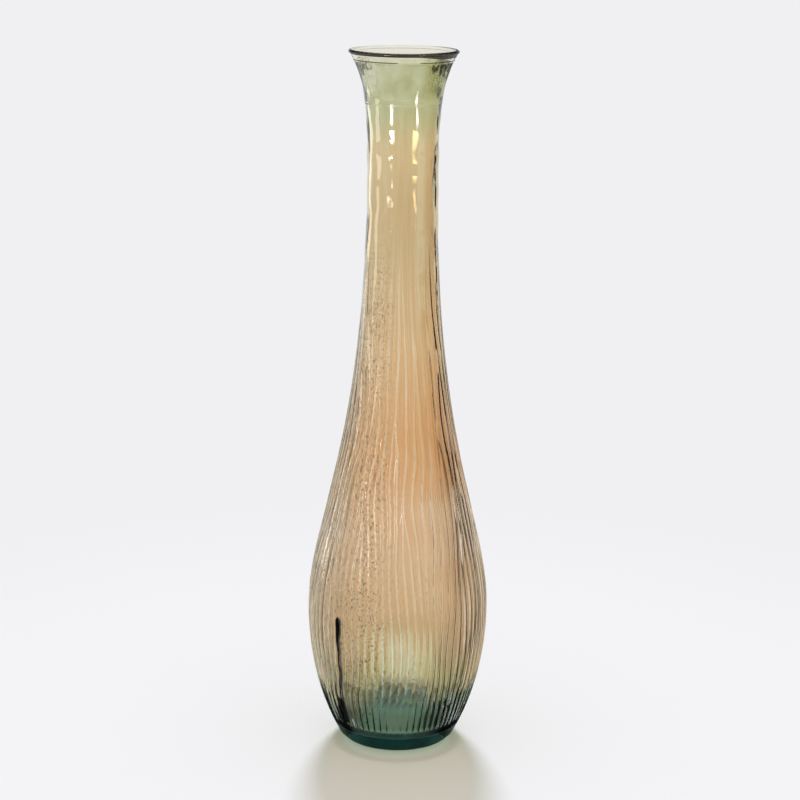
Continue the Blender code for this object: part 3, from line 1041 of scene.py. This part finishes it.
foot = MOULD_LINE
top = LIP_LINE - SEAM
heights = between(foot, top, COLLAR_ROWS)
outside = [Row(outside_radius(h), h, free=waver_at(h)) for h in heights]
lining = [Row(inside_radius(h), h, inner=1, free=waver_at(h)) for h in heights]
sage = glass("sage sprayed glass", WALL_DENSITY, WALL_GLASS)
sage = sprayed(*sage, coat=1.0, meets=(foot, top))
collar = turned(
    "flared_collar_glass", plain_turning, outside + lining[::-1] + outside[:1],
    Columns=COLLAR_COLUMNS, Material=sage, Waver=WAVER, **{"Waver size": WAVER_SIZE},
)
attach(collar, "root")
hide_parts("flared_collar")


# Rolled lip
# The cut edge was melted round in the flame: a low band, a little proud of the collar, with a
# bead on top that is thicker than the wall below it. Its dark lines are painted shade.
BEAD_HEIGHT = 0.0054
BEAD_WIDTH = 0.0068
BEAD_ENDS = (-30, 210)
BEAD_STEPS = 20
LIP_PROUD = 0.0005
LIP_ROWS = 6
LIP_DENSITY = 15.0
# How far the painted shade on the bead reaches down from the rim, and in from the middle of the
# bead, at the left and at the right, and from where to where it grows to the right
BEAD_SHADE_DOWN = (0.0058, 0.0095)
BEAD_SHADE_IN = (-0.0004, 0.0022)
BEAD_SHADE_GROWS = (0.015, 0.065)
BEAD_SHADE = (0.03, 0.025, 0.02, 1)
CREAM_BAND = (0.99, 0.96, 0.83, 1)
SAGE_EDGE = (0.82, 0.81, 0.60, 1)
LINE_ON_BAND = (0.0014, 0.0020, 0.0030, 0.0036)

bead_middle = RIM_HEIGHT - BEAD_HEIGHT / 2
bead_centre = (outside_radius(bead_middle) - wall(bead_middle) / 2, bead_middle)
heights = between(LIP_LINE, RIM_HEIGHT - BEAD_HEIGHT, LIP_ROWS)
outside = [Row(outside_radius(h) + LIP_PROUD, h, free=waver_at(h)) for h in heights]
bead = [
    Row(*place, free=waver_at(RIM_HEIGHT))
    for place in arc(bead_centre, (BEAD_WIDTH / 2, BEAD_HEIGHT / 2), *BEAD_ENDS, BEAD_STEPS)
]
lining = [Row(inside_radius(h), h, inner=1, free=waver_at(h)) for h in heights]


def lip_with_painted_shade():
    """Glass of the lip: cream in the band, sage at its lower edge, and painted shade outside on the
    bead, most at the right, deepest on its crown at the sides. A fine line of painted shade runs
    along the band at both sides."""
    made, t, shader, mix = glass("lip glass with painted shade", LIP_DENSITY, WALL_GLASS)
    at = spot_on_vase(t)
    front = t.minus(1.0, t.node("ShaderNodeNewGeometry").outputs["Backfacing"])
    low = t.step(at.x, *BEAD_SHADE_GROWS, RIM_HEIGHT - BEAD_SHADE_DOWN[0], RIM_HEIGHT - BEAD_SHADE_DOWN[1])
    start = t.step(at.x, *BEAD_SHADE_GROWS, bead_centre[0] - BEAD_SHADE_IN[0], bead_centre[0] - BEAD_SHADE_IN[1])
    outer = t.step(t.minus(at.girth, start), -0.0006, 0.0006)
    # Painted shade on the outer side of the bead, where it is entered
    bead_shade = t.times(
        t.step(t.minus(at.z, low), -0.0004, 0.0006),
        t.step(at.z, RIM_HEIGHT - 0.0002, RIM_HEIGHT - 0.0010),
        t.times(outer, front),
    )
    lower_edge = t.step(at.z, LIP_LINE + 0.0032, LIP_LINE + 0.0024)
    band = t.blend(lower_edge, CREAM_BAND, SAGE_EDGE)
    t.feed(shader.inputs["Base Color"], t.blend(bead_shade, band, BEAD_SHADE))

    # Painted shade on the crown of the bead, deepest at the sides
    crown = t.times(
        t.step(at.z, RIM_HEIGHT - 0.0008, RIM_HEIGHT - 0.0003),
        outer,
        t.step(t.absolute(at.x), 0.015, 0.050, 0.1, 0.7),
    )
    # A fine line of painted shade along the band
    line = t.times(
        t.span(at.z, *(LIP_LINE + height for height in LINE_ON_BAND)),
        front,
        t.step(t.absolute(t.minus(at.side, 0.10)), 0.18, 0.26, 0.0, 0.75),
    )
    dark = t.most(t.times(bead_shade, 0.6), crown, line)
    darkened(t, shader, mix, dark, fused(t, at.z, LIP_LINE))
    return made


lip = turned(
    "rolled_lip_glass", plain_turning, outside + bead + lining[::-1] + outside[:1],
    Columns=COLLAR_COLUMNS, Material=lip_with_painted_shade(), Waver=WAVER, **{"Waver size": WAVER_SIZE},
)
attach(lip, "root")
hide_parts("rolled_lip")


# Floor
# A pale painted studio floor. Round the vase it is lit and takes the shadow, and further out
# it turns into the plain colour of the background, so no horizon shows.
BACKGROUND = (0.871, 0.871, 0.888, 1)
FLOOR_PAINT = (0.935, 0.935, 0.95, 1)
FLOOR_REACH = 8.0
FLOOR_FADE = (0.45, 1.30)

floor_mesh = bpy.data.meshes.new("floor")
corners = ((-1, -1), (1, -1), (1, 1), (-1, 1))
corners = [(x * FLOOR_REACH, y * FLOOR_REACH, 0) for x, y in corners]
floor_mesh.from_pydata(corners, [], [(0, 1, 2, 3)])
floor = bpy.data.objects.new("floor", floor_mesh)
floor.location.z = -SEAM
bpy.context.scene.collection.objects.link(floor)
paint = bpy.data.materials.new("pale floor paint")
paint.use_nodes = True
t = Tree(paint.node_tree)
matt = paint.node_tree.nodes["Principled BSDF"]
matt.inputs["Base Color"].default_value = FLOOR_PAINT
matt.inputs["Roughness"].default_value = 0.9
matt.inputs["Specular IOR Level"].default_value = 0.1
far = t.node("ShaderNodeEmission")
far.inputs["Color"].default_value = BACKGROUND
from_vase = t.node("ShaderNodeVectorMath", operation="LENGTH")
t.feed(from_vase.inputs[0], t.node("ShaderNodeTexCoord").outputs["Object"])
mix = t.mixed(t.step(from_vase.outputs["Value"], *FLOOR_FADE), matt, far)
t.feed(paint.node_tree.nodes["Material Output"].inputs["Surface"], mix.outputs[0])
floor_mesh.materials.append(paint)


# Light
# A white studio, mirrored in the glass and seen through it, with a dark ceiling and four dark
# flags, faint at the left. A broad lamp behind throws the shadow forward. Strips in front, a
# small lamp at the belly and windows far to the left put highlights on the glass alone.
DARK_CLOTH = (0.02, 0.02, 0.025, 1)
ROOM_GLOW = (0.42, 0.42, 0.43, 1)
FLAG_AZIMUTHS = (54, 58, 72, 76)
FAINT_FLAGS = 0.08
BACK_LAMP_POWER = 2.6
BACK_LAMP_SPREAD = 12
BACK_LAMP_AIM = (0.02, -1.0, -0.93)
STRIP_DISTANCE = 1.65
WINDOW_DISTANCE = 1.70
PLAIN_LIGHT = (1, 1, 1)
CREAM_LIGHT = (1.0, 0.96, 0.84)
GOLDEN_LIGHT = (1.0, 0.70, 0.28)
DAYLIGHT = (1.0, 0.95, 0.80)
LATE_DAYLIGHT = (1.0, 0.93, 0.72)

world = bpy.data.worlds.new("studio")
world.use_nodes = True
bpy.context.scene.world = world
t = Tree(world.node_tree)
x, y, z = t.parts(t.node("ShaderNodeTexCoord").outputs["Generated"])
ceiling = t.step(z, 0.15, 0.30)
aside = t.times(t.math("ARCTAN2", t.absolute(x), t.absolute(y)), 180 / math.pi)
flags = t.times(t.span(aside, *FLAG_AZIMUTHS), t.step(x, -0.1, 0.1, FAINT_FLAGS, 1.0))
path = t.node("ShaderNodeLightPath").outputs
in_glass = t.blend(t.most(ceiling, flags), BACKGROUND, DARK_CLOTH)
seen = t.blend(path["Is Camera Ray"], in_glass, BACKGROUND)
background = world.node_tree.nodes["Background"]
t.feed(background.inputs["Color"], t.blend(path["Is Diffuse Ray"], seen, ROOM_GLOW))

back_lamp = bpy.data.objects.new("back lamp", bpy.data.lights.new("back lamp", "SUN"))
back_lamp.data.energy = BACK_LAMP_POWER
back_lamp.data.angle = math.radians(BACK_LAMP_SPREAD)
back_lamp.rotation_euler = Vector(BACK_LAMP_AIM).to_track_quat("-Z", "Y").to_euler()
back_lamp.visible_glossy = False
back_lamp.visible_transmission = False
bpy.context.scene.collection.objects.link(back_lamp)


def softbox(name, azimuth, distance, height, size, glow, tilt=0.0, spread=180.0, colour=PLAIN_LIGHT):
    """A softbox aimed at the axis, or tilted up, with a grid that narrows its spread. Only the
    surface of the glass shows it. Azimuth 0 is the camera's side, plus is right."""
    lamp = bpy.data.objects.new(name, bpy.data.lights.new(name, "AREA"))
    lamp.data.shape = "RECTANGLE"
    lamp.data.size, lamp.data.size_y = size
    lamp.data.color = colour
    lamp.data.energy = glow * math.pi * size[0] * size[1]
    if spread < 180:
        half = math.radians(spread / 2)
        lamp.data.energy *= 1 - half / math.tan(half)
    a = math.radians(azimuth)
    lamp.location = (distance * math.sin(a), -distance * math.cos(a), height)
    aim = Vector((-math.sin(a), math.cos(a), math.tan(math.radians(tilt))))
    lamp.rotation_euler = aim.to_track_quat("-Z", "Y").to_euler()
    lamp.data.spread = math.radians(spread)
    lamp.visible_camera = False
    lamp.visible_diffuse = False
    lamp.visible_transmission = False
    bpy.context.scene.collection.objects.link(lamp)


for azimuth in (-31, -38):
    softbox("left strip", azimuth, STRIP_DISTANCE, 0.66, (0.46, 0.11), 105.0, 11.5, 12, CREAM_LIGHT)
softbox("low left strip", -34, STRIP_DISTANCE, 0.42, (0.34, 0.28), 45.0, 19, 16)
for azimuth in (36, 42):
    softbox("right strip", azimuth, STRIP_DISTANCE, 0.65, (0.46, 0.13), 40.0, 12, 14, GOLDEN_LIGHT)
softbox("low right strip", 39, STRIP_DISTANCE, 0.30, (0.18, 0.54), 30.0, 22, 20)
softbox("belly glint", -30, STRIP_DISTANCE, 0.56, (0.12, 0.06), 55.0, -8, 12)
softbox("side window", -86, WINDOW_DISTANCE, 0.55, (0.44, 0.20), 4.0, colour=DAYLIGHT)
softbox("low side window", -80, WINDOW_DISTANCE, 0.30, (0.40, 0.30), 9.0, 0, 34, DAYLIGHT)
softbox("far side window", -124, WINDOW_DISTANCE, 0.60, (0.44, 0.30), 3.0, colour=LATE_DAYLIGHT)

scene = bpy.context.scene
scene.cycles.max_bounces = 24
scene.cycles.transmission_bounces = 24
scene.cycles.glossy_bounces = 8
scene.cycles.transparent_max_bounces = 16
